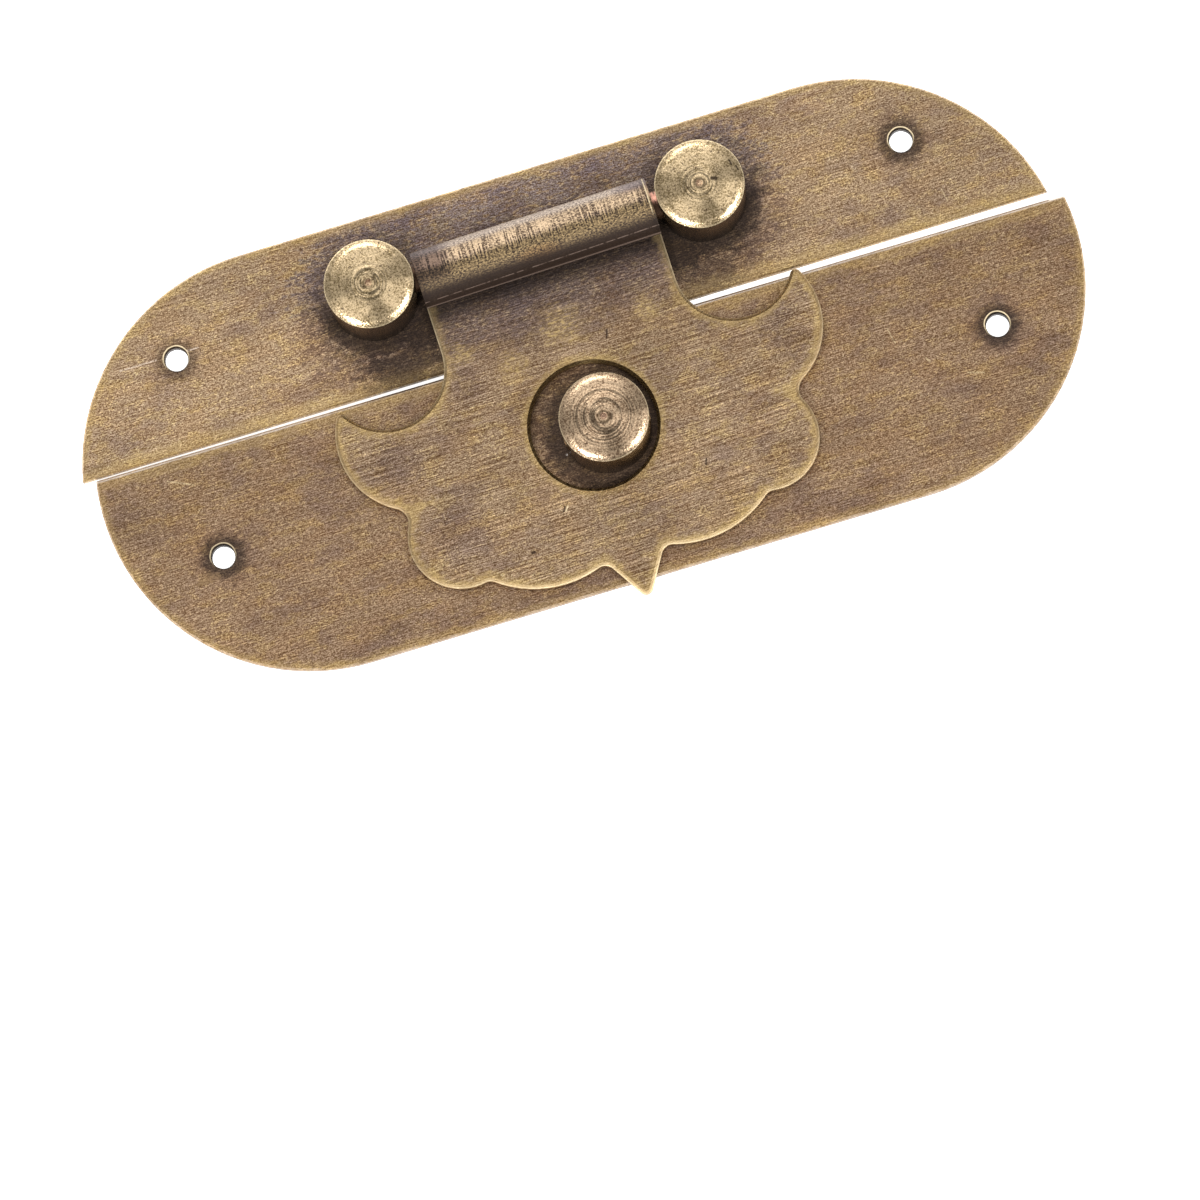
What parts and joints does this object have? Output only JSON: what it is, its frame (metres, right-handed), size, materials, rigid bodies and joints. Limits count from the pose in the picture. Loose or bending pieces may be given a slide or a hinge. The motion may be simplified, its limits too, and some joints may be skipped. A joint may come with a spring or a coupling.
{
  "type": "box latch",
  "caption": "Oval two-part box latch with a scalloped hasp that swings on a pin between two studs and drops over a drilled stud for a padlock.",
  "frame": {"origin": "on the back of the upper plate, straight under the middle of the hinge pin", "axes": "+X along the slit to the right, +Y up towards the lid's edge of the upper plate, +Z off the wood towards the user"},
  "size_m": [0.1144, 0.0504, 0.0098],
  "materials": {
    "plate_brass": "antiqued, brushed along the length",
    "hasp_brass": "antiqued, brushed, with worn bright edges",
    "stud_brass": "turned faces rubbed bright, dark sides",
    "pin_copper": "plain drawn pin"
  },
  "bodies": {
    "plates": {"upper_plate": "plate_brass", "lower_plate": "plate_brass", "left_stud": "stud_brass", "right_stud": "stud_brass", "lock_stud": "stud_brass", "hinge_pin": "pin_copper"},
    "hasp": {"hasp": "hasp_brass"}
  },
  "joints": [
    {"name": "hasp_hinge", "type": "hinge", "parent": "plates", "child": "hasp", "pos_m": [0, 0, 0.00479], "axis": [-1, 0, 0], "range_deg": [0, 180]}
  ]
}
